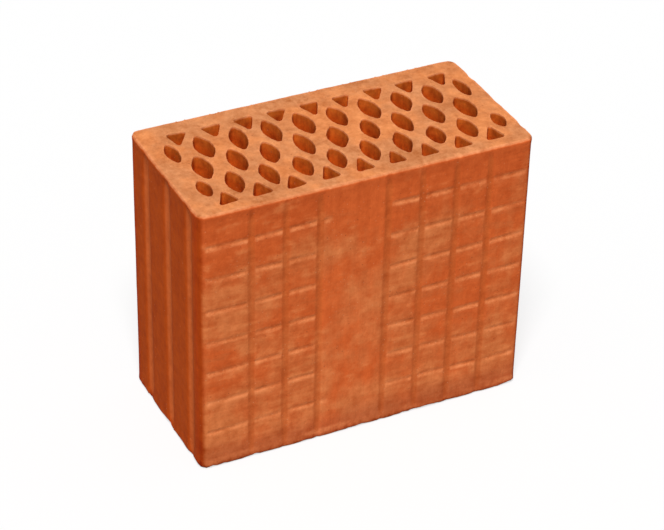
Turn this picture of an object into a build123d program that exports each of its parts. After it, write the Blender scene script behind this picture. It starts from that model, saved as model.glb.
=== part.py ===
"""Vertically perforated clay block, extruded and fired as one piece.

Millimetres. X runs along the block, Y across it from the front face (-Y) to the back face,
Z up, the way the clay left the die. The origin is the middle of the bottom bed face.
"""

import os

from build123d import *

# Overall size of the fired block
length = 250.0
width = 120.0
height = 208.0
corner_radius = 6.0

# Lens-shaped hole, pointed to the front and the back, sizes over its sharp tips
lens_width = 13.4
lens_length = 30.6
lens_tip_radius = 2.0

# Smaller lens that closes each end of the two outer rows
end_lens_width = 9.6
end_lens_length = 24.4
header_wall = 10.0

# Lattice of perforations: five rows across the block, each half a pitch from the next
hole_pitch = 24.8
row_spacing = 24.6
middle_row_count = int((length - 2 * header_wall - lens_width) // hole_pitch) + 1
outer_row_count = middle_row_count - 1

# Triangle between two lenses of an outer row, its base parallel to the long face
triangle_width = 15.0
triangle_length = 18.0
triangle_radius = 1.8
face_wall = 12.3

# Grooves up the long faces: an even pitch, with one place left plain as a smooth band
face_groove_width = 5.2
face_groove_depth = 1.8
face_groove_flank_angle = 45.0
face_groove_floor_radius = 0.8
face_groove_pitch = 25.8
face_groove_count = int(length // face_groove_pitch) - 1
plain_index = 3

# Shallow grooves up the two headers
header_groove_width = 10.0
header_groove_depth = 2.0
header_groove_flank_angle = 30.0
header_groove_floor_radius = 3.0
header_groove_pitch = 36.5
header_groove_count = 3

# Keys scored across the long faces, steep above and sloping below, in level rows
key_depth = 1.0
key_height = 5.0
key_slope_height = 4.4
first_key_row = 30.0
key_row_pitch = 25.5
key_rows = int((height - key_height - first_key_row) // key_row_pitch) + 1


def lens(hole_width, hole_length):
    """Outline of a hole made of two arcs that meet in a rounded tip at the front and the back."""
    with BuildSketch() as outline:
        with BuildLine():
            ThreePointArc((0, -hole_length / 2), (hole_width / 2, 0), (0, hole_length / 2))
            ThreePointArc((0, hole_length / 2), (-hole_width / 2, 0), (0, -hole_length / 2))
        make_face()
        fillet(outline.vertices(), lens_tip_radius)
    return outline.sketch


def triangle():
    """Outline of a triangular hole with its base on the X axis and its apex towards -Y."""
    with BuildSketch() as outline:
        with BuildLine():
            Polyline(
                (-triangle_width / 2, 0),
                (triangle_width / 2, 0),
                (0, -triangle_length),
                close=True,
            )
        make_face()
        fillet(outline.vertices(), triangle_radius)
    return outline.sketch


def groove(mouth, depth, flank_angle, floor_radius):
    """Outline of a groove sunk in the +Y direction from the X axis, with slanted flanks."""
    with BuildSketch() as outline:
        Trapezoid(mouth, depth, flank_angle, align=(Align.CENTER, Align.MIN))
        fillet(outline.vertices().group_by(Axis.Y)[-1], floor_radius)
    return outline.sketch


def key():
    """Outline of a key sunk in the +X direction from the Y axis."""
    with BuildSketch() as outline:
        with BuildLine():
            Polyline(
                (0, -key_height / 2),
                (0, key_height / 2),
                (key_depth, key_slope_height - key_height / 2),
                close=True,
            )
        make_face()
    return outline.sketch


def along(count, pitch):
    """Evenly spaced places about zero."""
    return [(i - (count - 1) / 2) * pitch for i in range(count)]


whole_lens = lens(lens_width, lens_length)
end_lens = lens(end_lens_width, end_lens_length)
end_lens_x = length / 2 - header_wall - end_lens_width / 2
triangle_hole = triangle()
triangle_base_y = width / 2 - face_wall

face_groove = groove(
    face_groove_width, face_groove_depth, face_groove_flank_angle, face_groove_floor_radius
)
header_groove = groove(
    header_groove_width, header_groove_depth, header_groove_flank_angle, header_groove_floor_radius
)
groove_xs = along(face_groove_count, face_groove_pitch)
del groove_xs[plain_index]

# The keys run from each corner of the block to the nearest groove beside the smooth band
band_left = groove_xs[plain_index - 1]
band_right = groove_xs[plain_index]
key_runs = [(-length / 2, band_left), (band_right, length / 2)]
front_key = key()
back_key = front_key.mirror(Plane.YZ)

with BuildPart() as clay_block:
    with BuildSketch() as section:
        RectangleRounded(length, width, corner_radius)

        # Grooves of the front and back faces, then those of the two headers
        with Locations(*[(x, -width / 2) for x in groove_xs]):
            add(face_groove, mode=Mode.SUBTRACT)
        with Locations(*[Location((x, width / 2), 180) for x in groove_xs]):
            add(face_groove, mode=Mode.SUBTRACT)
        header_ys = along(header_groove_count, header_groove_pitch)
        with Locations(*[Location((-length / 2, y), -90) for y in header_ys]):
            add(header_groove, mode=Mode.SUBTRACT)
        with Locations(*[Location((length / 2, y), 90) for y in header_ys]):
            add(header_groove, mode=Mode.SUBTRACT)

        # Three rows of lenses, with the smaller ones at the ends of the outer rows
        with GridLocations(hole_pitch, 1, middle_row_count, 1):
            add(whole_lens, mode=Mode.SUBTRACT)
        with GridLocations(hole_pitch, 2 * row_spacing, outer_row_count, 2):
            add(whole_lens, mode=Mode.SUBTRACT)
        with GridLocations(2 * end_lens_x, 2 * row_spacing, 2, 2):
            add(end_lens, mode=Mode.SUBTRACT)

        # A row of triangles along each long face
        triangle_xs = along(middle_row_count, hole_pitch)
        with Locations(*[(x, triangle_base_y) for x in triangle_xs]):
            add(triangle_hole, mode=Mode.SUBTRACT)
        with Locations(*[Location((x, -triangle_base_y), 180) for x in triangle_xs]):
            add(triangle_hole, mode=Mode.SUBTRACT)
    extrude(amount=height)

    # Keys scored across both long faces between the corners and the smooth band
    key_zs = [first_key_row + i * key_row_pitch for i in range(key_rows)]
    for start, end in key_runs:
        with BuildSketch(Plane.YZ.offset(start)):
            with Locations(*[(-width / 2, z) for z in key_zs]):
                add(front_key)
            with Locations(*[(width / 2, z) for z in key_zs]):
                add(back_key)
        extrude(amount=end - start, mode=Mode.SUBTRACT)

clay_block.part.label = "clay_block"

os.makedirs("parts", exist_ok=True)
export_step(clay_block.part, "parts/clay_block.step")
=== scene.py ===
"""Dresses the perforated clay block: cut beds, scored faces, fired colour, floor, lamps and camera."""

from math import atan2, cos, pi, radians, sin, sqrt, tan

import bmesh
import bpy
from mathutils import Matrix, Vector


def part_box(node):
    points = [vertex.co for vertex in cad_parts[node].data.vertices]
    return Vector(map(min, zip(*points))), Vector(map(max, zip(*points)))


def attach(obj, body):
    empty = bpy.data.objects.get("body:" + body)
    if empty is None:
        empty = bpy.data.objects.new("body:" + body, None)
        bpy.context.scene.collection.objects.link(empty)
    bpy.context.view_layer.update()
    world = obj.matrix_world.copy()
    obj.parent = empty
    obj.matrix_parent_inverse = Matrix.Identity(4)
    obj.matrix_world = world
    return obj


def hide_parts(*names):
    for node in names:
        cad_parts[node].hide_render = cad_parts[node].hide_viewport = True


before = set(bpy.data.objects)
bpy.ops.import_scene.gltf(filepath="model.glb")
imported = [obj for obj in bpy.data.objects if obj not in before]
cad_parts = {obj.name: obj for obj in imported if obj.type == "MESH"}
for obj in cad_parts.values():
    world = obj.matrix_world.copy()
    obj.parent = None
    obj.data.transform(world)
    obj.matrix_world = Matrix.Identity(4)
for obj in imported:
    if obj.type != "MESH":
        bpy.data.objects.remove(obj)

bl_info = {
    "name": "Perforated Clay Block",
    "version": (1, 0, 0),
    "blender": (4, 5, 0),
    "location": "View3D > Sidebar > Clay Block",
    "description": "Builds a fired clay block around its packed CAD frame",
    "category": "Add Mesh",
}

MM = 0.001
NODE = "clay_block"
LOW, HIGH = (Vector(corner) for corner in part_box(NODE))
SIZE = HIGH - LOW

# The roles that the drawn wires carry into the node tree
OUTLINE, FACE_UPRIGHT, HOLE_UPRIGHT, LENS, END_LENS, TRIANGLE = range(6)

# Size of a hole that is as wide and as long as its drawing
AS_DRAWN = (1.0, 1.0, 1.0)

# Faces that meet at a sharper angle than this keep a crisp edge
SHARP_ANGLE = radians(48)

# From the block towards the soft sun
TOWARDS_SUN = Vector((-0.25, -0.45, 0.87))


def plain(name, value, description, **options):
    """A number, without a unit unless the options name one."""
    return bpy.props.FloatProperty(name=name, description=description, default=value, **options)


def mm(name, value, description):
    """A length written in millimetres."""
    return plain(name, value * MM, description, unit="LENGTH", subtype="DISTANCE", precision=5)


def angle(name, value, description):
    """An angle written in degrees."""
    return plain(name, radians(value), description, unit="ROTATION", subtype="ANGLE")


def shares(name, value, description, subtype="XYZ", **options):
    """Three numbers, by default sizes along X, Y and Z as shares of the ideal ones."""
    return bpy.props.FloatVectorProperty(
        name=name, description=description, default=value, size=3, subtype=subtype, **options
    )


def xyz(name, value, description):
    """A place or a shift along X, Y and Z, written in millimetres."""
    return shares(name, tuple(part * MM for part in value), description, unit="LENGTH")


def colour(name, value, description):
    """A colour in linear light."""
    return shares(name, value, description, subtype="COLOR", min=0, max=1)


def whole(name, value, description):
    """A count or a seed."""
    return bpy.props.IntProperty(name=name, description=description, default=value, min=0)


class BlockSizes(bpy.types.PropertyGroup):
    """Sizes of the block's section, the same as in the CAD model."""

    corner_radius: mm("Corner Radius", 6.0, "Rounding of the upright corners")
    hole_pitch: mm("Hole Pitch", 24.8, "From one hole to the next along a row")
    row_spacing: mm("Row Spacing", 24.6, "From one row of holes to the next")
    middle_count: whole("Middle Row Holes", 9, "Whole lenses in the middle row")
    lens_width: mm("Lens Width", 13.4, "Lens-shaped hole along the block")
    lens_length: mm("Lens Length", 30.6, "Lens-shaped hole across the block, over sharp tips")
    lens_tip_radius: mm("Lens Tip Radius", 2.0, "Rounding of a lens-shaped hole's tips")
    end_lens_width: mm("End Lens Width", 9.6, "Smaller hole at the end of an outer row")
    end_lens_length: mm("End Lens Length", 24.4, "Smaller hole across the block")
    header_wall: mm("Header Wall", 10.0, "Clay between an end hole and the header")
    triangle_width: mm("Triangle Width", 15.0, "Base of a triangular hole")
    triangle_length: mm("Triangle Length", 18.0, "From the base of a triangular hole to its apex")
    triangle_radius: mm("Triangle Radius", 1.8, "Rounding of the triangle's corners")
    face_wall: mm("Face Wall", 12.3, "Clay between a triangle's base and the long face")
    groove_width: mm("Groove Width", 5.2, "Mouth of an upright groove of the long faces")
    groove_depth: mm("Groove Depth", 1.8, "Depth of an upright groove of the long faces")
    groove_pitch: mm("Groove Pitch", 25.8, "From one upright groove to the next")
    groove_count: whole("Groove Count", 8, "Places for grooves along a long face")
    plain_index: whole("Plain Index", 3, "The place that is left plain as the smooth band")
    header_groove_width: mm("Header Groove Width", 10.0, "Mouth of a header groove")
    header_groove_depth: mm("Header Groove Depth", 2.0, "Depth of a header groove")
    header_groove_pitch: mm("Header Groove Pitch", 36.5, "From one header groove to the next")
    header_groove_count: whole("Header Groove Count", 3, "Grooves of a header")
    key_rows: whole("Key Rows", 7, "Rows of scored keys")
    key_pitch: mm("Key Pitch", 25.5, "From one row of keys to the next")
    first_key_row: mm("First Key Row", 30.0, "From the bottom bed up to the first row of keys")
    key_depth: mm("Key Depth", 1.0, "Depth of a scored key")
    key_height: mm("Key Height", 5.0, "Height of a scored key's mouth")
    key_slope: mm("Key Slope", 4.4, "Height of the sloping side under the steep one")


class BlockRelief(bpy.types.PropertyGroup):
    """How far the clay strays from its ideal section."""

    skin_room: mm("Skin Room", 0.5, "How far the skin lies inside the CAD box, as room for its relief")
    core_shift: xyz("Core Shift", (1.8, -3.0, 0.0), "How far the die's cores stood off centre")
    front_slides: xyz("Front Slides", (0.3, 1.8, -0.9), "Slides of its lenses, end lenses and triangles")
    back_slides: xyz("Back Slides", (-0.4, -0.5, 1.1), "Slides of its lenses, end lenses and triangles")
    header_shift: mm("Header Shift", -4.5, "How far the header grooves stand off centre")
    groove_crowding: plain("Groove Crowding", 0.975, "How the grooves left of the band drew together")
    groove_shift: mm("Groove Shift", 1.0, "How far the grooves of the long faces stand off centre")
    groove_ease: mm("Groove Ease", 1.5, "How far a face groove's worn lips reach past its mouth")
    header_ease: mm("Header Ease", 2.2, "How far a header groove's worn lips reach past its mouth")
    groove_share: plain("Groove Share", 0.44, "Share of a face groove's depth that the worn die still drew")
    hole_lean: angle("Hole Lean", 4.0, "Common slant of the holes, from the drag of the cutting wire")
    triangle_lean: angle("Triangle Lean", 7.5, "The same slant of the triangles")
    triangle_shift: mm("Triangle Shift", 1.0, "How far both rows of triangles stood back")
    triangle_share: shares("Triangle Share", (1.03, 1.03, 1.0), "Size of the triangles against the ideal")
    front_share: shares("Front Row Share", (0.98, 0.92, 1.0), "Size of the front lenses against the ideal")
    front_end_share: shares("Front End Share", (1.05, 0.88, 1.0), "Size of the front row's end lenses")
    back_end_share: shares("Back End Share", (1.0, 1.14, 1.0), "Size of the back row's end lenses")
    hole_tilt: angle("Hole Tilt", 5.0, "Largest turn of a hole")
    hole_spread: plain("Hole Spread", 0.06, "Largest change of a hole's size, as a share")
    hole_shift: mm("Hole Shift", 0.6, "Largest shift of a hole in its row")
    hole_bend: mm("Hole Bend", 1.0, "How far a hole's outline wanders")
    warp: mm("Warp", 0.5, "Slow bending of the whole block as it dried and fired")
    drag: mm("Drag", 0.35, "Upright ripples left by the die")
    wear: mm("Wear", 0.25, "Rounding of the holes' cut edges")
    droop: mm("Droop", 0.45, "How far the cut edges of the holes sank, which leaves the webs crowned")
    edge: mm("Edge", 1.1, "Rounding of the block's outer cut edges")
    burr: mm("Burr", 0.40, "Rolled lip under the outer cut edges")
    smear: plain("Smear", 0.8, "Share of a groove's depth that the lip closes at the beds")
    chips: mm("Chips", 1.3, "Reach of the chips in the cut edges")
    bed_relief: mm("Bed Relief", 0.7, "Hollows of the wire-cut beds")
    foot_wear: mm("Foot Wear", 2.0, "How far the lower outer edges crumbled where the block stood")
    key_wander: mm("Key Wander", 2.2, "How far a row of keys strays from level")
    key_slump: mm("Key Slump", 2.2, "How far the steep side of a key sank over the slope under it")
    key_sag: mm("Key Sag", -0.4, "How far the rows of keys sank as the block dried")
    key_bow: mm("Key Bow", 2.8, "How far the front face's lower rows of keys bow up in the middle")
    bow_middle: mm("Bow Middle", -25.0, "Where along the block that bow is highest")
    key_press: plain("Key Press", 0.57, "Deepest share of a key's depth that the scoring wheel reached")
    key_stub: mm("Key Stub", 7.0, "How far the first and last rows run on into the smooth band")
    seed: whole("Seed", 7, "Seed of every random thing")


class ClayFinish(bpy.types.PropertyGroup):
    """Colours and surface of the fired clay."""

    bed: colour("Cut Bed", (0.685, 0.262, 0.103), "Wire-cut faces, pale and open")
    # Painted highlight: a pale colour on the rounded cut edges, where they catch the light
    bed_warm: colour("Warm Bed", (0.725, 0.235, 0.074), "Warmer patches of the cut faces")
    rim: colour("Rim Highlight", (0.865, 0.300, 0.120), "Cut edges, where the wire smoothed the clay")
    skin: colour("Die Skin", (0.715, 0.162, 0.042), "Long faces, smoothed by the die")
    skin_deep: colour("Deep Skin", (0.68, 0.108, 0.019), "Redder patches of the die skin")
    skin_dust: colour("Dusty Skin", (0.770, 0.222, 0.066), "Pale dusty smears on the die skin")
    # Partly the paler open clay of the keys, partly a painted highlight on their up-facing slopes; also the
    # painted highlight along the foot
    scored: colour("Scored Clay And Highlight", (0.90, 0.278, 0.097), "Open clay on the slopes of the keys")
    # Painted shade in the floors of the upright grooves
    groove: colour("Groove Floor Shade", (0.56, 0.112, 0.022), "Floors of the upright grooves")
    skin_low: colour("Low Skin", (0.51, 0.112, 0.038), "Duller skin low on the long faces")
    # Painted shade of the headers, which the sun barely reaches; the colour also wraps onto the corner arcs
    header: colour("Shaded Header Skin", (0.555, 0.078, 0.005), "Headers, which fired darker")
    # Painted shade on the ends of the headers, which holds down the sun on the rounded corners
    corner: colour("Corner Shade", (0.55, 0.060, 0.002), "Ends of the headers, burnished by the die")
    # Painted highlight in the header grooves, lighter than the shaded header, where their flanks face the
    # sun
    header_groove_highlight: colour("Header Groove", (0.66, 0.132, 0.028), "Grooves of the headers")
    # Painted shade on the walls of the holes: darker deep down, lighter at their mouths
    shaded_wall: colour("Hole Wall", (0.61, 0.091, 0.006), "Walls of the holes")
    mouth: colour("Hole Mouth", (0.60, 0.124, 0.013), "Walls of the holes near the beds")
    grit: colour("Grit", (0.30, 0.055, 0.016), "Dark iron specks")
    grog: colour("Grog", (0.90, 0.50, 0.27), "Pale grains of crushed fired clay")
    gloss: plain("Gloss", 0.1, "Specular level of the matt clay")
    smoothest: plain("Smoothest", 0.82, "Roughness of the clay where it is smoothest")
    roughest: plain("Roughest", 0.97, "Roughness of the clay where it is roughest")
    bump_height: mm("Bump Height", 0.7, "Depth of the grain and the pores")
    bump_strength: plain("Bump Strength", 0.75, "Share of that depth that shows")


class StageSettings(bpy.types.PropertyGroup):
    """Camera and lamps."""

    eye: xyz("Eye", (-631.35, -1259.77, 1052.15), "Where the camera stands")
    azimuth: angle("Azimuth", -26.695, "Turn of the view about the upright")
    elevation: angle("Elevation", 34.033, "How far the view looks down")
    roll: angle("Roll", 1.41, "Tilt of the picture")
    focal: plain("Focal Length", 130.8, "Focal length of the camera, in millimetres")
    sensor: plain("Sensor Width", 36.0, "Width of the camera's sensor, in millimetres")
    key_strength: plain("Key Lamp", 3.1, "Strength of the soft sun")
    key_spread: angle("Key Lamp Spread", 20.0, "Breadth of the soft sun, which softens its shadows")
    sky: plain("Sky", 0.20, "Strength of the even light from all round")
    floor_light: plain("Floor Light", 0.40, "Share of the light that the floor throws back at the block")
    floor_shadow: plain("Floor Shadow", 0.35, "How much of the block's shadow shows on the white floor")


class Flow:
    """A socket on which Python's arithmetic adds Math nodes."""

    def __init__(self, graph, socket):
        self.graph = graph
        self.socket = socket

    def math(self, operation, *others):
        """One Math node with this flow as its first value."""
        return self.graph.math(operation, self, *others)

    def __add__(self, other):
        return self.math("ADD", other)

    def __sub__(self, other):
        return self.math("SUBTRACT", other)

    def __rsub__(self, other):
        return self.graph.math("SUBTRACT", other, self)

    def __mul__(self, other):
        return self.math("MULTIPLY", other)

    def __abs__(self):
        return self.math("ABSOLUTE")

    __radd__ = __add__
    __rmul__ = __mul__


class Graph:
    """Adds nodes to a tree of any kind."""

    def __init__(self, tree):
        self.tree = tree

    def add(self, kind, values=None, output=0, **settings):
        """Adds one node: its settings first, then the values or links of its sockets."""
        node = self.tree.nodes.new(kind)
        for name, value in settings.items():
            setattr(node, name, value)
        for name, value in (values or {}).items():
            for item in value if isinstance(value, list) else [value]:
                self.feed(node.inputs[name], item)
        return Flow(self, node.outputs[output]) if len(node.outputs) else None

    def feed(self, socket, value):
        """Links a flow to a socket, or sets a plain value on it."""
        if isinstance(value, Flow):
            self.tree.links.new(value.socket, socket)
        else:
            socket.default_value = value

    def out(self, flow, name):
        """Another output of the node that a flow comes from."""
        return Flow(self, flow.socket.node.outputs[name])

    def math(self, operation, *values):
        """One Math node."""
        return self.add("ShaderNodeMath", dict(enumerate(values)), operation=operation)

    def vector(self, operation, *values):
        """One Vector Math node."""
        return self.add("ShaderNodeVectorMath", dict(enumerate(values)), operation=operation)

    def scale(self, vector, factor):
        """A vector made longer or shorter."""
        return self.add("ShaderNodeVectorMath", {0: vector, "Scale": factor}, operation="SCALE")

    def split(self, vector):
        """X, Y and Z of a vector."""
        x = self.add("ShaderNodeSeparateXYZ", {0: vector})
        return x, self.out(x, "Y"), self.out(x, "Z")

    def join(self, x=0.0, y=0.0, z=0.0):
        """A vector of three numbers."""
        return self.add("ShaderNodeCombineXYZ", {0: x, 1: y, 2: z})

    def ramp(self, value, start, end, **settings):
        """0 at start, 1 at end, straight between them."""
        values = {"Value": value, "From Min": start, "From Max": end}
        return self.add("ShaderNodeMapRange", values, clamp=True, **settings)

    def step(self, value, start, end):
        """0 below start, 1 above end, smooth between them."""
        return self.ramp(value, start, end, interpolation_type="SMOOTHSTEP")

    def fade(self, value, start, end):
        """1 below start, 0 above end, smooth between them."""
        return 1 - self.step(value, start, end)

    def noise(self, place, size, seed, stretch=None, detail=2.0, output="Fac", **values):
        """Noise centred on 0.5, its bumps about `size` metres apart, drawn out where `stretch` is small."""
        if stretch:
            place = self.vector("MULTIPLY", place, stretch)
        values = {"Vector": place, "W": seed, "Scale": 1 / size, "Detail": detail, **values}
        return self.out(self.add("ShaderNodeTexNoise", values, noise_dimensions="4D"), output)

    def sway(self, place, size, seed, reach):
        """A level shift from noise, at most about half of `reach`."""
        shift = self.vector("SUBTRACT", self.noise(place, size, seed, output="Color"), (0.5, 0.5, 0.5))
        return self.vector("MULTIPLY", self.scale(shift, reach), (1, 1, 0))

    def grains(self, place, size, edge, rarity, channel):
        """Scattered round grains as a mask, and the distance from the nearest cell's middle."""
        cells = self.add("ShaderNodeTexVoronoi", {"Vector": place, "Scale": 1 / size})
        distance = self.out(cells, "Distance")
        picked = self.split(self.out(cells, "Color"))[channel]
        return self.fade(distance, *edge) * self.step(picked, *rarity), distance

    def blend(self, factor, first, second, **settings):
        """Mixes two colours, each a flow or three numbers."""
        first, second = (each if isinstance(each, Flow) else (*each, 1.0) for each in (first, second))
        values = {0: factor, 6: first, 7: second}
        return self.add("ShaderNodeMix", values, 2, data_type="RGBA", **settings)

    def shape(self, kind, geometry, values=None, **settings):
        """One Geometry node whose first input is a geometry, or a list of them."""
        return self.add("GeometryNode" + kind, {0: geometry, **(values or {})}, **settings)

    def mark(self, geometry, name, value):
        """Keeps a number under a name on every point."""
        return self.shape("StoreNamedAttribute", geometry, {"Name": name, "Value": value})


def new_tree(name, inputs):
    """A Geometry Nodes tree with named inputs. Returns its graph, its inputs and its output socket."""
    kinds = {int: "Int", float: "Float", Vector: "Vector", bpy.types.Material: "Material"}
    tree = bpy.data.node_groups.new(name, "GeometryNodeTree")
    tree.interface.new_socket(name="Geometry", in_out="INPUT", socket_type="NodeSocketGeometry")
    for label, value in inputs.items():
        kind = next(kind for known, kind in kinds.items() if isinstance(value, known))
        tree.interface.new_socket(name=label, in_out="INPUT", socket_type=f"NodeSocket{kind}")
    tree.interface.new_socket(name="Geometry", in_out="OUTPUT", socket_type="NodeSocketGeometry")
    graph = Graph(tree)
    source = tree.nodes.new("NodeGroupInput")
    flows = {socket.name: Flow(graph, socket) for socket in source.outputs if socket.name}
    return graph, flows, tree.nodes.new("NodeGroupOutput").inputs[0]


def named(group, *identifiers):
    """Settings of a group, under the names that the panel shows."""
    settings = {}
    for identifier in identifiers:
        value = getattr(group, identifier)
        name = group.bl_rna.properties[identifier].name
        settings[name] = value if isinstance(value, (int, float)) else Vector(value)
    return settings


def add_modifier(piece, graph, inputs):
    """Puts a tree on a piece and sets its inputs by their identifiers."""
    modifier = piece.modifiers.new(graph.tree.name, "NODES")
    modifier.node_group = graph.tree
    for item in graph.tree.interface.items_tree:
        if item.in_out == "INPUT" and item.name in inputs:
            modifier[item.identifier] = inputs[item.name]


def bake(piece):
    """Turns the evaluated piece into a plain mesh and removes its modifiers."""
    evaluated = piece.evaluated_get(bpy.context.evaluated_depsgraph_get())
    mesh = bpy.data.meshes.new_from_object(evaluated)
    piece.modifiers.clear()
    old = piece.data
    piece.data = mesh
    bpy.data.meshes.remove(old)
    mesh.name = piece.name


def span(start, end, step):
    """Even places from start to end, about `step` apart, both ends included."""
    count = max(1, round(abs(end - start) / step))
    return [start + (end - start) * i / count for i in range(count + 1)]


def along(count, pitch):
    """Evenly spaced places about zero."""
    return [(i - (count - 1) / 2) * pitch for i in range(count)]


def groove_section(mouth, depth, ease):
    """Half of a groove's section from its eased mouth in, as (distance from its middle, depth)."""
    reach = mouth / 2 + ease
    steps = 4
    return [(reach * (1 - k / steps), depth * (1 - cos(pi * k / steps)) / 2) for k in range(steps + 1)]


def grooved_side(half_span, middles, section, land_step):
    """Stations along a side, as (distance along, depth), with grooves at the given middles."""
    stations = []
    edge = -half_span
    reach = section[0][0]
    for middle in middles:
        stations += [(t, 0.0) for t in span(edge, middle - reach, land_step)[:-1]]
        stations += [(middle - t, depth) for t, depth in section]
        stations += [(middle + t, depth) for t, depth in reversed(section[1:-1])]
        edge = middle + reach
    return stations + [(t, 0.0) for t in span(edge, half_span, land_step)]


def groove_places(sizes, relief):
    """Places of the grooves along a long face, off centre and crowded left of the smooth band."""
    places = along(sizes.groove_count, sizes.groove_pitch)
    del places[sizes.plain_index]
    crowded = [x * relief.groove_crowding for x in places[:sizes.plain_index]]
    return [x + relief.groove_shift for x in crowded + places[sizes.plain_index:]]


def block_outline(sizes, relief):
    """Points of the block's outline, anticlockwise from the left end of the front face."""
    half_x = SIZE.x / 2 - relief.skin_room
    half_y = SIZE.y / 2 - relief.skin_room
    radius = sizes.corner_radius
    land_step = 5 * MM
    corner_steps = 4
    face = groove_section(sizes.groove_width, sizes.groove_depth * relief.groove_share, relief.groove_ease)
    header = groove_section(sizes.header_groove_width, sizes.header_groove_depth, relief.header_ease)
    header_places = along(sizes.header_groove_count, sizes.header_groove_pitch)
    header_places = [relief.header_shift + y for y in header_places]
    sides = [
        (half_x - radius, half_y, groove_places(sizes, relief), face),
        (half_y - radius, half_x, header_places, header),
    ]
    points = []
    for quarter in range(4):
        half_span, distance, middles, section = sides[quarter % 2]
        if quarter >= 2:
            middles = [-t for t in reversed(middles)]
        turn = Matrix.Rotation(quarter * pi / 2, 3, "Z")
        for t, depth in grooved_side(half_span, middles, section, land_step):
            points.append(turn @ Vector((t, depth - distance, 0)))
        for step in range(1, corner_steps):
            turned = step / corner_steps * pi / 2
            corner = Vector((half_span + radius * sin(turned), radius - distance - radius * cos(turned), 0))
            points.append(turn @ corner)
    return points


def arc(centre, radius, start, end, steps):
    """Points along an arc, both ends included."""
    turns = [start + (end - start) * k / steps for k in range(steps + 1)]
    return [centre + radius * Vector((cos(turn), sin(turn), 0)) for turn in turns]


def lens_outline(width, length, tip_radius, side_steps, tip_steps):
    """Points of a lens-shaped hole of two arcs that meet in rounded tips, anticlockwise."""
    side_radius = (width ** 2 + length ** 2) / (4 * width)
    offset = side_radius - width / 2
    tip_y = sqrt((side_radius - tip_radius) ** 2 - offset ** 2)
    meeting = atan2(tip_y, offset)
    half = arc(Vector((-offset, 0, 0)), side_radius, -meeting, meeting, side_steps)
    half += arc(Vector((0, tip_y, 0)), tip_radius, meeting, pi - meeting, tip_steps)[1:-1]
    return half + [-point for point in half]


def triangle_outline(width, length, radius, side_steps):
    """Points of a triangular hole with rounded corners, its base on the X axis, clockwise."""
    corners = [Vector((-width / 2, 0, 0)), Vector((width / 2, 0, 0)), Vector((0, -length, 0))]
    points = []
    for k, corner in enumerate(corners):
        before = (corners[k - 1] - corner).normalized()
        after = (corners[(k + 1) % 3] - corner).normalized()
        half_angle = before.angle(after) / 2
        centre = corner + (before + after).normalized() * radius / sin(half_angle)
        first = corner + before * radius / tan(half_angle) - centre
        last = corner + after * radius / tan(half_angle) - centre
        points += [centre + first.lerp(last, step / 2).normalized() * radius for step in range(3)]
        following = (corners[(k + 1) % 3] - corner).length
        far = corner + after * (following - 2 * radius)
        start = points[-1]
        points += [start.lerp(far, step / side_steps) for step in range(1, side_steps)]
    return points


def face_levels(sizes, relief):
    """Heights of the rings of the outer walls: close at the beds and at each row of keys."""
    half = sizes.key_height / 2
    crest = sizes.key_slope - half - relief.key_slump
    mouth = span(-half, crest, 0.75 * MM) + span(crest, half, 0.67 * MM)[1:]
    near_key = [-half - 1.5 * MM, *mouth, half + 0.6 * MM, half + 2 * MM]
    near_bed = [z * MM for z in (0.0, 0.4, 0.9, 1.7, 3.0, 6.0, 11.0)]
    rows = [sizes.first_key_row + i * sizes.key_pitch for i in range(sizes.key_rows)]
    levels = near_bed + [SIZE.z - z for z in near_bed] + [z + near for z in rows for near in near_key]
    for below, above in zip(rows, rows[1:]):
        levels += span(below + near_key[-1], above + near_key[0], 5.5 * MM)
    return sorted({round(z, 6) for z in levels})


def hole_levels():
    """Heights of the rings of the holes' walls: close at the beds."""
    near = [z * MM for z in (0.0, 0.4, 0.9, 1.7, 3.2, 7.0, 15.0, 32.0, 62.0)]
    return near + [SIZE.z / 2] + [SIZE.z - z for z in reversed(near)]


def leaning(points, lean):
    """An outline slanted to one side, as the wire dragged the clay."""
    return [Vector((point.x + point.y * tan(lean), point.y, 0)) for point in points]


def draw_wires(sizes, relief):
    """A mesh of wires with the block's outline, two uprights and each kind of hole, told apart by role."""
    lens = lens_outline(sizes.lens_width, sizes.lens_length, sizes.lens_tip_radius, 6, 3)
    end_lens = lens_outline(sizes.end_lens_width, sizes.end_lens_length, sizes.lens_tip_radius, 5, 3)
    triangle = triangle_outline(sizes.triangle_width, sizes.triangle_length, sizes.triangle_radius, 3)
    wires = [
        (OUTLINE, block_outline(sizes, relief), True),
        (FACE_UPRIGHT, [Vector((0, 0, z)) for z in face_levels(sizes, relief)], False),
        (HOLE_UPRIGHT, [Vector((0, 0, z)) for z in hole_levels()], False),
        (LENS, leaning(lens, relief.hole_lean), True),
        (END_LENS, leaning(end_lens, relief.hole_lean), True),
        (TRIANGLE, leaning(triangle, relief.triangle_lean), True),
    ]
    drawing = bmesh.new()
    role = drawing.verts.layers.int.new("role")
    for value, points, closed in wires:
        corners = [drawing.verts.new(point) for point in points]
        for corner in corners:
            corner[role] = value
        for start, end in zip(corners, corners[1:] + corners[:1] if closed else corners[1:]):
            drawing.edges.new((start, end))
    mesh = bpy.data.meshes.new("clay_block_wires")
    drawing.to_mesh(mesh)
    drawing.free()
    return mesh


def wire_of(graph, drawing, value):
    """The drawn wire that carries a role, as a curve."""
    role = graph.add("GeometryNodeInputNamedAttribute", {"Name": "role"}, data_type="INT")
    chosen = graph.add("FunctionNodeCompare", {2: role, 3: value}, data_type="INT", operation="EQUAL")
    return graph.shape("MeshToCurve", graph.shape("SeparateGeometry", drawing, {1: chosen}))


def swept(graph, drawing, outlines, upright_role):
    """Walls that carry outlines up the block."""
    upright = graph.shape("Transform", wire_of(graph, drawing, upright_role), {"Rotation": (pi / 2, 0, 0)})
    return graph.shape("CurveToMesh", outlines, {1: upright})


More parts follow.
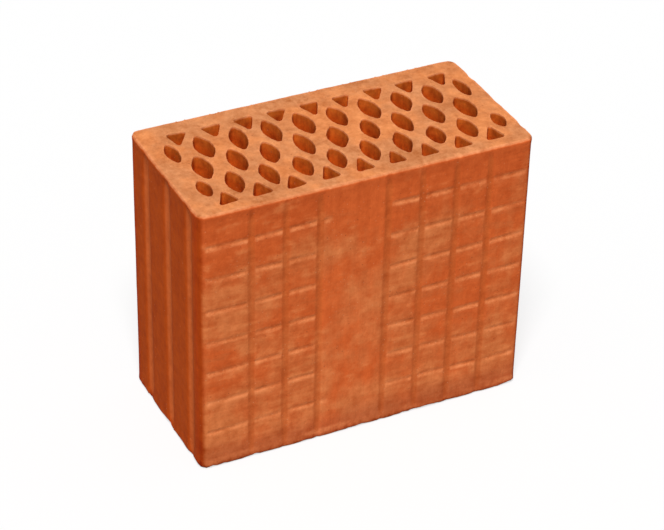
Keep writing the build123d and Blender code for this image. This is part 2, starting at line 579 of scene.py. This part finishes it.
def hole_row(graph, flows, shape, count, pitch, slide, place_y, seed, turn=0.0, share=AS_DRAWN):
    """A row of one hole shape along X, each a little shifted, turned and resized about the row's share."""

    def stray(name, directions, offset):
        """Each hole's own random vector along some directions, at most the named setting long in each."""
        low = tuple(-part for part in directions)
        values = {0: low, 1: directions, "Seed": flows["Seed"] + (seed + offset)}
        drawn = graph.add("FunctionNodeRandomValue", values, data_type="FLOAT_VECTOR")
        return graph.scale(drawn, flows[name])

    start = graph.join((count - 1) * pitch * -0.5 + slide, place_y)
    start = graph.vector("ADD", start, flows["Core Shift"])
    values = {"Count": count, "Start Location": start, "Offset": graph.join(pitch)}
    line = graph.add("GeometryNodeMeshLine", values)
    line = graph.shape("SetPosition", line, {"Offset": stray("Hole Shift", (1, 1, 0), 0)})
    tilt = graph.vector("ADD", stray("Hole Tilt", (0, 0, 1), 1), (0, 0, turn))
    resize = graph.vector("ADD", stray("Hole Spread", (1, 1, 0), 2), share)
    holes = graph.shape("InstanceOnPoints", line, {"Instance": shape, "Rotation": tilt, "Scale": resize})
    return graph.shape("RealizeInstances", holes)


def body_tree(sizes, relief):
    """Repeats the holes over the lattice and sweeps every outline up the block between two filled beds."""
    inputs = {
        "End Hole Place": SIZE.x / 2 - sizes.header_wall - sizes.end_lens_width / 2,
        "Triangle Place": SIZE.y / 2 - sizes.face_wall,
        "Height": SIZE.z,
        **named(sizes, "hole_pitch", "row_spacing", "middle_count"),
        **named(relief, "core_shift", "hole_shift", "hole_tilt", "hole_spread", "hole_bend", "seed"),
        **named(relief, "front_slides", "back_slides", "front_share", "front_end_share"),
        **named(relief, "back_end_share", "triangle_share", "triangle_shift"),
    }
    graph, flows, output = new_tree("Perforated Clay Body", inputs)
    shape = graph.shape
    drawing = flows["Geometry"]
    pitch, row, count = flows["Hole Pitch"], flows["Row Spacing"], flows["Middle Row Holes"]
    end_pitch = flows["End Hole Place"] * 2
    lens, end_lens, triangle = (wire_of(graph, drawing, value) for value in (LENS, END_LENS, TRIANGLE))
    holes = [hole_row(graph, flows, lens, count, pitch, 0.0, 0.0, 10)]
    front = (-1, pi, 20, flows["Front Row Share"], flows["Front End Share"], flows["Front Slides"])
    back = (1, 0.0, 60, AS_DRAWN, flows["Back End Share"], flows["Back Slides"])
    for side, turn, seed, lens_share, end_share, slides in (front, back):
        place, edge_place = row * side, flows["Triangle Place"] * side + flows["Triangle Shift"]
        lens_slide, end_slide, triangle_slide = graph.split(slides)
        rows = [
            (lens, count - 1, pitch, lens_slide, place, seed, 0.0, lens_share),
            (end_lens, 2, end_pitch, end_slide, place, seed + 10, 0.0, end_share),
            (triangle, count, pitch, triangle_slide, edge_place, seed + 20, turn, flows["Triangle Share"]),
        ]
        holes += [hole_row(graph, flows, *values) for values in rows]
    holes = shape("JoinGeometry", holes)
    place = graph.add("GeometryNodeInputPosition")
    bend = graph.sway(place, 11 * MM, flows["Seed"], flows["Hole Bend"] * 2)
    holes = shape("SetPosition", holes, {"Offset": bend})

    # One cut in each stretch of the walls' outlines matches the corners that one subdivision gives the beds
    outline = wire_of(graph, drawing, OUTLINE)
    outer_wall = swept(graph, drawing, shape("SubdivideCurve", outline, {"Cuts": 1}), FACE_UPRIGHT)
    hole_walls = swept(graph, drawing, shape("SubdivideCurve", holes, {"Cuts": 1}), HOLE_UPRIGHT)
    hole_walls = graph.mark(hole_walls, "hole", 1.0)
    bed = shape("FillCurve", shape("JoinGeometry", [outline, holes]), mode="TRIANGLES")
    bed = shape("SubdivideMesh", bed, {"Level": 1})
    top = shape("Transform", bed, {"Translation": graph.join(0.0, 0.0, flows["Height"])})
    body = shape("JoinGeometry", [outer_wall, hole_walls, bed, top])
    body = shape("MergeByDistance", body, {"Distance": 0.01 * MM})
    graph.feed(output, shape("RealizeInstances", body))
    return graph, inputs


def key_tree(sizes, relief):
    """Scores level rows of keys across both long faces, from the corners to the smooth band."""
    places = groove_places(sizes, relief)
    inputs = {
        "Face Distance": SIZE.y / 2 - relief.skin_room,
        "Slumped Slope": sizes.key_slope - relief.key_slump,
        "Band Start": places[sizes.plain_index - 1],
        "Band End": places[sizes.plain_index],
        **named(sizes, "first_key_row", "key_pitch", "key_rows", "key_depth", "key_height"),
        **named(relief, "key_wander", "key_sag", "key_bow", "bow_middle", "key_press", "key_stub", "seed"),
    }
    graph, flows, output = new_tree("Scored Keys", inputs)
    step, fade, noise = graph.step, graph.fade, graph.noise
    x, y, z = graph.split(graph.add("GeometryNodeInputPosition"))
    height = z - flows["First Key Row"]
    last = flows["Key Rows"] - 1
    row = height.math("DIVIDE", flows["Key Pitch"]).math("ROUND").math("MINIMUM", last).math("MAXIMUM", 0.0)
    above = height - row * flows["Key Pitch"]
    side = y.math("SIGN")
    face = flows["Face Distance"]
    on_face = step(abs(y), face - 3 * MM, face - 2.4 * MM)
    on_land = step(abs(y), face - 0.4 * MM, face - 0.1 * MM)

    # A key slopes in from below and ends in a steep side above
    foot = flows["Key Height"] * -0.5
    crest = foot + flows["Slumped Slope"]
    slope = graph.ramp(above, foot, crest)
    steep = fade(above, crest, flows["Key Height"] * 0.5)

    # The rows end at the smooth band, and the first and last ones overrun its edge
    stub = step(abs(row - last * 0.5), last * 0.5 - 0.6, last * 0.5 - 0.4) * flows["Key Stub"]
    left_run = step(flows["Band Start"] + stub - x, -1.5 * MM, 1 * MM)
    right_run = step(x - flows["Band End"], -1 * MM, 1.5 * MM)
    runs = left_run.math("MAXIMUM", right_run)

    # Each face and row has a lane of noise to itself, by which it wanders and presses
    row_apart, face_apart = 31 * MM, 0.3005
    lane = graph.join(x, row * row_apart, side * face_apart)
    wander = (noise(lane, 30 * MM, flows["Seed"], detail=3.0) - 0.5) * flows["Key Wander"]
    pressed = step(noise(lane, 15 * MM, flows["Seed"] + 3.0, detail=3.0), 0.32, 0.68) * 0.6 + 0.4

    # The lower rows of the front face bow up
    on_front = 0.5 - side * 0.5
    bow = fade(abs(x - flows["Bow Middle"]), 30 * MM, 140 * MM) * fade(row, 1.0, 3.0)
    bow = bow * on_front * flows["Key Bow"]

    cut = slope * steep * runs * pressed * flows["Key Depth"] * flows["Key Press"]
    new_y = abs(y).math("MINIMUM", face - cut) * side
    near = fade(abs(above), 3 * MM, 9 * MM)
    new_z = z + (wander + flows["Key Sag"] + bow) * near * on_face * runs
    # The key slopes: open clay, which the clay colour also paints paler as a highlight where the slopes
    # face up
    bared_and_lit = step(above, foot - 2.2 * MM, foot + 0.9 * MM) * steep
    marked = graph.mark(flows["Geometry"], "scored", bared_and_lit * runs * pressed * on_land)
    graph.feed(output, graph.shape("SetPosition", marked, {"Position": graph.join(x, new_y, new_z)}))
    return graph, inputs


def surface_tree(relief, clay):
    """Warps, drags, chips and wears the block, and keeps it inside its CAD box."""
    inputs = {
        "Height": SIZE.z,
        "Low Corner": LOW,
        "High Corner": HIGH,
        "Clay": clay,
        **named(relief, "warp", "drag", "wear", "droop", "edge", "burr", "smear", "chips", "bed_relief"),
        **named(relief, "foot_wear", "seed"),
    }
    graph, flows, output = new_tree("Fired Surface", inputs)
    step, fade, noise = graph.step, graph.fade, graph.noise
    seed = flows["Seed"]
    place = graph.add("GeometryNodeInputPosition")
    x, y, z = graph.split(place)
    far_x, far_y, _ = graph.split(flows["High Corner"])
    depth = z.math("MINIMUM", flows["Height"] - z)
    inset_x, inset_y = far_x - abs(x), far_y - abs(y)
    hole = graph.add("GeometryNodeInputNamedAttribute", {"Name": "hole"})
    hole = step(hole, 0.1, 0.3)
    outer = fade(inset_x.math("MINIMUM", inset_y), 3.2 * MM, 4.2 * MM)
    sideways = graph.vector("MULTIPLY", graph.add("GeometryNodeInputNormal"), (1, 1, 0))

    # Slow warp of the whole block
    warp = graph.sway(place, 90 * MM, seed, flows["Warp"])

    # Upright ripples that the die drew into the skin and the holes
    ripple = noise(place, 7 * MM, seed + 5.0, (1, 1, 0.12), detail=3.0) - 0.5
    pits = noise(place, 6 * MM, seed + 9.0, detail=3.0) - 0.5
    skin = (ripple + pits * 0.7) * flows["Drag"]

    # The wire rolls a lip along the outer edges and rounds all edges, and they chip
    ragged = noise(place, 7 * MM, seed + 13.0, detail=3.0)
    uneven = step(ragged, 0.3, 0.65)
    lip = step(depth, 0.4 * MM, 1.7 * MM) * fade(depth, 2.4 * MM, 6 * MM)
    lip = lip * (uneven * 0.6 + 0.4) * flows["Burr"] * outer
    rounding = fade(depth, -0.6 * MM, 1.4 * MM) * (uneven * 0.7 + 0.5)
    worn = rounding * (flows["Wear"] * (1 - outer) + flows["Edge"] * outer)
    chip = step(noise(place, 12 * MM, seed + 17.0, detail=3.0), 0.64, 0.80)
    chipped = chip * fade(depth, 0.0, 2.6 * MM) * flows["Chips"]
    sides = graph.scale(sideways, skin + lip - worn - chipped)

    # The same drag closes part of each groove towards the beds
    closing = fade(depth, 0.0, 11 * MM) * flows["Smear"] * (uneven * 0.4 + 0.6)
    in_face = step(inset_x, 9 * MM, 12 * MM) * fade(inset_y, 3 * MM, 3.6 * MM)
    in_header = step(inset_y, 9 * MM, 12 * MM) * fade(inset_x, 3 * MM, 3.6 * MM)
    fill_x = inset_x * in_header * closing * x.math("SIGN")
    fill_y = inset_y * in_face * closing * y.math("SIGN")

    # Hollows of the wire-cut beds, which fade up the walls
    hollow = noise(place, 34 * MM, seed + 21.0, (1, 1, 0))
    tear = noise(place, 6 * MM, seed + 25.0, (1, 0.3, 0), detail=3.0)
    sink = (hollow * 0.6 + tear * 0.4) * flows["Bed Relief"] * fade(depth, 0.0, 12 * MM)
    rim = hole * flows["Droop"] * (ragged + 0.5) + outer * flows["Edge"] * 0.4
    sink = sink + rim * fade(depth, 0.0, 3 * MM)

    # The foot crumbled where the block stood
    crumbled = step(noise(place, 17 * MM, seed + 33.0, detail=4.0), 0.42, 0.66) * flows["Foot Wear"]
    sink = sink + crumbled * outer * fade(z, 0.0, 5 * MM)
    inwards = (flows["Height"] * 0.5 - z).math("SIGN")

    filled = graph.join(fill_x, fill_y, sink * inwards)
    offset = graph.vector("ADD", graph.vector("ADD", warp, sides), filled)
    moved = graph.vector("ADD", place, offset)
    kept = graph.vector("MINIMUM", moved, flows["High Corner"])
    kept = graph.vector("MAXIMUM", kept, flows["Low Corner"])
    surface = graph.shape("SetPosition", flows["Geometry"], {"Position": kept})
    surface = graph.shape("RealizeInstances", graph.shape("SetShadeSmooth", surface))
    graph.feed(output, graph.shape("SetMaterial", surface, {"Material": flows["Clay"]}))
    return graph, inputs


def close_body(piece):
    """Turns every face of the closed body outwards, and stops if a seam is open."""
    body = bmesh.new()
    body.from_mesh(piece.data)
    open_edges = sum(1 for edge in body.edges if len(edge.link_faces) != 2)
    if open_edges:
        raise RuntimeError(f"{piece.name} has {open_edges} open edges")
    bmesh.ops.recalc_face_normals(body, faces=body.faces)
    body.to_mesh(piece.data)
    body.free()


def new_object(name, data):
    """A new object in the scene."""
    thing = bpy.data.objects.new(name, data)
    bpy.context.scene.collection.objects.link(thing)
    return thing


def emptied(owner):
    """A material or a world with an empty node tree, and its graph."""
    owner.use_nodes = True
    owner.node_tree.nodes.clear()
    return owner, Graph(owner.node_tree)


def clay_material(finish, sizes):
    """Fired clay: pale open beds, a redder die skin, painted shade in the recesses, on the headers and
    along the foot, painted highlights on the cut edges and the key slopes, streaks, grit and pores.
    """
    material, graph = emptied(bpy.data.materials.new("fired_clay"))
    step, fade, noise, blend = graph.step, graph.fade, graph.noise, graph.blend
    place = graph.out(graph.add("ShaderNodeTexCoord"), "Object")
    x, y, z = graph.split(place)

    # Where the beds, the headers, the grooves, the keys and the holes are
    below_bed = z.math("MINIMUM", SIZE.z - z)
    edge_noise = (noise(place, 3 * MM, 2.0) - 0.5) * (1.2 * MM)
    bed = fade(below_bed + edge_noise, 0.8 * MM, 2.4 * MM)
    inset_x = SIZE.x / 2 - abs(x)
    inset_y = SIZE.y / 2 - abs(y)
    inset = inset_x.math("MINIMUM", inset_y)
    header = fade(inset_x, 3 * MM, 4 * MM) * step(inset_y, 1 * MM, 3 * MM)
    # The ends of the headers and their rounded corners, which get painted shade
    corner = fade(inset_x, 2.5 * MM, 5 * MM) * fade(inset_y, 7 * MM, 13 * MM)
    turned = corner * fade(inset_y, 3.5 * MM, 6.5 * MM)
    hole = step(inset, 3 * MM, 4 * MM)
    # The groove floors, which get painted shade
    floor = step(inset_y, 0.56 * MM, 1.05 * MM) * step(inset_x, 8 * MM, 12 * MM)
    # The header grooves, which get a painted highlight
    lit_header_groove = step(inset_x, 0.8 * MM, 1.8 * MM) * step(inset_y, 8 * MM, 12 * MM)
    scored = graph.add("ShaderNodeAttribute", output="Fac", attribute_name="scored")
    plain_x = along(sizes.groove_count, sizes.groove_pitch)[sizes.plain_index]
    band = fade(abs(x - plain_x), 21 * MM, 26 * MM)

    # Noise shared by the colours and the bump
    streaks = noise(place, 6 * MM, 6.0, (1, 1, 0.10), detail=4.0)
    patches = noise(place, 42 * MM, 8.0, detail=3.0)
    mottle = noise(place, 10 * MM, 10.0, detail=5.0, Roughness=0.62)
    smear = noise(place, 8 * MM, 11.0, (0.35, 0.35, 1.6), detail=4.0)
    grain = noise(place, 3.6 * MM, 13.0, (1, 1, 0.7), detail=3.0)
    fine = noise(place, 1.6 * MM, 12.0, detail=4.0, Roughness=0.7)

    # Die skin: deep patches, dusty smears and faint upright streaks
    near_top = step(z, SIZE.z * 0.62, SIZE.z - 10 * MM)
    deep = step(streaks * 0.2 + patches * 0.5 + smear * 0.3 + near_top * 0.12, 0.44, 0.58)
    skin = blend(deep * 0.8, finish.skin, finish.skin_deep)
    leftward = graph.ramp(x, 20 * MM, -110 * MM) * 0.05
    dust = mottle * 0.2 + patches * -0.5 + smear * 0.3 - near_top * 0.08 + leftward + 0.49
    skin = blend(step(dust, 0.46, 0.60) * 0.75, skin, finish.skin_dust)
    low = fade(z + (patches - 0.5) * (24 * MM), 5 * MM, 26 * MM)
    skin = blend(low * 0.6, skin, finish.skin_low)

    # Open clay on the keys, painted paler also as a painted highlight on their up-facing slopes, and a
    # painted highlight along the crumbled foot
    crumbs = step(mottle * 0.6 + fine * 0.4, 0.38, 0.56) * 0.6 + 0.4
    # Open clay and a painted highlight on the key slopes
    skin = blend(scored * crumbs, skin, finish.scored)
    # Painted highlight: a pale band just above the foot of the outer faces, where a rolled lip would catch
    # the light
    sill_highlight = step(z, 3 * MM, 5.5 * MM) * fade(z, 6.5 * MM, 9.5 * MM) * (1 - header)
    skin = blend(sill_highlight * crumbs * step(patches, 0.40, 0.60) * 0.6, skin, finish.scored)

    # Painted shade in the groove floors, on the headers, on the ends of the headers and down the hole
    # walls, and a painted highlight in the header grooves
    # Painted shade in the groove floors
    skin = blend(floor * 0.55, skin, finish.groove)
    # Painted shade on the headers, with a painted highlight in their grooves
    skin = blend(header, skin, blend(lit_header_groove, finish.header, finish.header_groove_highlight))
    # Painted shade on the ends of the headers
    skin = blend((corner - turned) * 0.9, skin, finish.corner)
    # Painted shade down the walls of the holes, deepening below the beds
    hole_shade = blend(step(below_bed, 3 * MM, 11 * MM), finish.mouth, finish.shaded_wall)
    skin = blend(hole, skin, hole_shade)

    # Cut beds, with a pale painted highlight along the cut edges, where their rounding catches the light
    warm = step(mottle * 0.35 + patches * 0.65, 0.42, 0.60)
    cut_face = blend(warm, finish.bed, finish.bed_warm)
    # The cut edges, which get a painted highlight
    edge = fade(inset + edge_noise, 1 * MM, 3 * MM)
    edge = edge.math("MAXIMUM", step(below_bed + edge_noise, 0.6 * MM, 1.2 * MM))
    cut_face = blend(edge * 0.7, cut_face, finish.rim)
    clay = blend(bed, skin, cut_face)

    # Uneven firing, which changes blue more than red, with painted shade along the foot where the block
    # stands and on the rounded corners
    # Painted shade: darker along the foot, where the block stands on the floor
    foot = fade(z + (grain - 0.5) * (8 * MM), 0.0, 5 * MM)
    tone = (mottle - 0.5) * 0.75 + (grain - 0.5) * 0.45 + (fine - 0.5) * 0.35 + (patches - 0.5) * 0.35
    tone = tone + (smear - 0.5) * (1 - band) * (1 - header) * 0.5 + (streaks - 0.5) * (band * 0.4 + 0.2)
    tone = tone * (bed * 0.4 + 1) + (mottle + grain - 1) * hole * (1 - bed) * 0.8
    # Painted shade along the foot and on the rounded corners; the smooth band is paler and the long faces
    # darker low down
    tone = tone + band * (1 - bed) * 0.08 - foot * 0.46 - low * 0.10 - turned * 0.26
    tints = (tone * weight + 1.0 for weight in (0.7, 1.1, 1.5))
    tint = graph.add("ShaderNodeCombineColor", dict(enumerate(tints)))
    clay = blend(1.0, clay, tint, blend_type="MULTIPLY")

    # Dark iron specks and pale grog
    grit, _ = graph.grains(place, 4.5 * MM, (0.05, 0.14), (0.80, 0.86), 0)
    clay = blend(grit * 0.6, clay, finish.grit)
    grog, distance = graph.grains(place, 3.1 * MM, (0.06, 0.20), (0.84, 0.90), 1)
    clay = blend(grog * 0.25, clay, finish.grog)

    # Bump: drag lines up the skin, torn clay on the beds, grain and pores over all
    wire = noise(place, 1.8 * MM, 14.0, (1, 0.18, 1), detail=4.0)
    drawn = noise(place, 1.4 * MM, 16.0, (1, 1, 0.05), detail=3.0)
    tool = drawn * (1 - bed) + wire * bed
    pores = step(distance, 0.05, 0.30)
    wrinkles = smear * (1 - band) * (1 - bed) * (1 - header) * 0.3
    relief = tool * 0.45 + mottle * 0.5 + fine * 0.35 + pores * 0.18 + wrinkles
    values = {"Strength": finish.bump_strength, "Distance": finish.bump_height, "Height": relief}
    bump = graph.add("ShaderNodeBump", values)
    values = {"Value": fine, "To Min": finish.smoothest, "To Max": finish.roughest}
    rough = graph.add("ShaderNodeMapRange", values)
    values = {"Base Color": clay, "Roughness": rough, "Normal": bump, "Specular IOR Level": finish.gloss}
    graph.add("ShaderNodeOutputMaterial", {"Surface": graph.add("ShaderNodeBsdfPrincipled", values)})
    return material


def seen_directly(graph):
    """1 for rays from the camera and for those that metal or glass sends on, else 0."""
    path = graph.add("ShaderNodeLightPath")
    seen = path.math("MAXIMUM", graph.out(path, "Is Glossy Ray"))
    return seen.math("MAXIMUM", graph.out(path, "Is Transmission Ray"))


class CLAYBLOCK_OT_block(bpy.types.Operator):
    """Build the fired clay block in place of its CAD solid"""

    bl_idname = "clayblock.block"
    bl_label = "Build Block"

    def execute(self, context):
        sizes = context.scene.block_sizes
        relief = context.scene.block_relief
        clay = clay_material(context.scene.clay_finish, sizes)
        piece = new_object("clay_block_fired", draw_wires(sizes, relief))
        add_modifier(piece, *body_tree(sizes, relief))
        bake(piece)
        close_body(piece)
        add_modifier(piece, *key_tree(sizes, relief))
        add_modifier(piece, *surface_tree(relief, clay))
        bake(piece)
        piece.data.set_sharp_from_angle(angle=SHARP_ANGLE)
        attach(piece, "root")
        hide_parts(NODE)
        return {"FINISHED"}


class CLAYBLOCK_OT_stage(bpy.types.Operator):
    """Lay the pale floor and set up the lamps and the camera"""

    bl_idname = "clayblock.stage"
    bl_label = "Set Stage"

    def execute(self, context):
        settings = context.scene.stage_settings
        self.floor(settings)
        self.lights(context, settings)
        self.camera(context, settings)
        context.scene.view_settings.view_transform = "Standard"
        return {"FINISHED"}

    def floor(self, settings):
        """A wide floor that looks white, throws back part of its light and keeps the block's shadow."""
        mesh = bpy.data.meshes.new("floor")
        reach = 3.0
        corners = [(-reach, -reach, 0), (reach, -reach, 0), (reach, reach, 0), (-reach, reach, 0)]
        mesh.from_pydata(corners, [], [(0, 1, 2, 3)])
        floor = new_object("floor", mesh)
        material, graph = emptied(bpy.data.materials.new("floor_white"))
        seen = seen_directly(graph)
        dim, pale = [settings.floor_light] * 3, [0.95] * 3
        paint = graph.blend(seen, dim, pale)
        matt = graph.add("ShaderNodeBsdfDiffuse", {"Color": paint})
        white = graph.add("ShaderNodeEmission", {"Color": (1, 1, 1, 1)})
        lit = seen * (1 - settings.floor_shadow)
        surface = graph.add("ShaderNodeMixShader", {0: lit, 1: matt, 2: white})
        graph.add("ShaderNodeOutputMaterial", {"Surface": surface})
        mesh.materials.append(material)

    def lights(self, context, settings):
        """A soft sun from above the front left and an even sky that the camera sees as white."""
        sun = bpy.data.lights.new("key_sun", "SUN")
        sun.energy = settings.key_strength
        sun.angle = settings.key_spread
        new_object("key_sun", sun).rotation_euler = TOWARDS_SUN.to_track_quat("Z", "Y").to_euler()
        context.scene.world, graph = emptied(bpy.data.worlds.new("sky"))
        strength = seen_directly(graph) * (1 - settings.sky) + settings.sky
        sky = graph.add("ShaderNodeBackground", {"Color": (1, 1, 1, 1), "Strength": strength})
        graph.add("ShaderNodeOutputWorld", {"Surface": sky})

    def camera(self, context, settings):
        """The photograph's view."""
        data = bpy.data.cameras.new("camera")
        data.sensor_fit = "HORIZONTAL"
        data.sensor_width = settings.sensor
        data.lens = settings.focal
        data.clip_start = 0.05
        camera = new_object("camera", data)
        azimuth, elevation = settings.azimuth, settings.elevation
        back = Vector((sin(azimuth) * cos(elevation), -cos(azimuth) * cos(elevation), sin(elevation)))
        turn = back.to_track_quat("Z", "Y").to_matrix() @ Matrix.Rotation(settings.roll, 3, "Z")
        camera.matrix_world = Matrix.Translation(Vector(settings.eye)) @ turn.to_4x4()
        context.scene.camera = camera


class CLAYBLOCK_PT_panel(bpy.types.Panel):
    """The block's operators and settings"""

    bl_label = "Clay Block"
    bl_idname = "CLAYBLOCK_PT_panel"
    bl_space_type = "VIEW_3D"
    bl_region_type = "UI"
    bl_category = "Clay Block"

    def draw(self, context):
        layout = self.layout
        layout.operator(CLAYBLOCK_OT_block.bl_idname)
        layout.operator(CLAYBLOCK_OT_stage.bl_idname)
        for name in GROUPS:
            box = layout.box()
            settings = getattr(context.scene, name)
            for item in settings.bl_rna.properties:
                if item.identifier not in {"rna_type", "name"}:
                    box.prop(settings, item.identifier)


GROUPS = {
    "block_sizes": BlockSizes,
    "block_relief": BlockRelief,
    "clay_finish": ClayFinish,
    "stage_settings": StageSettings,
}
CLASSES = (*GROUPS.values(), CLAYBLOCK_OT_block, CLAYBLOCK_OT_stage, CLAYBLOCK_PT_panel)


def register():
    for cls in CLASSES:
        bpy.utils.register_class(cls)
    for name, group in GROUPS.items():
        setattr(bpy.types.Scene, name, bpy.props.PointerProperty(type=group))


def unregister():
    for name in GROUPS:
        delattr(bpy.types.Scene, name)
    for cls in reversed(CLASSES):
        bpy.utils.unregister_class(cls)


def main():
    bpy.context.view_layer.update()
    register()
    bpy.ops.clayblock.block()
    bpy.ops.clayblock.stage()


if __name__ == "__main__":
    main()
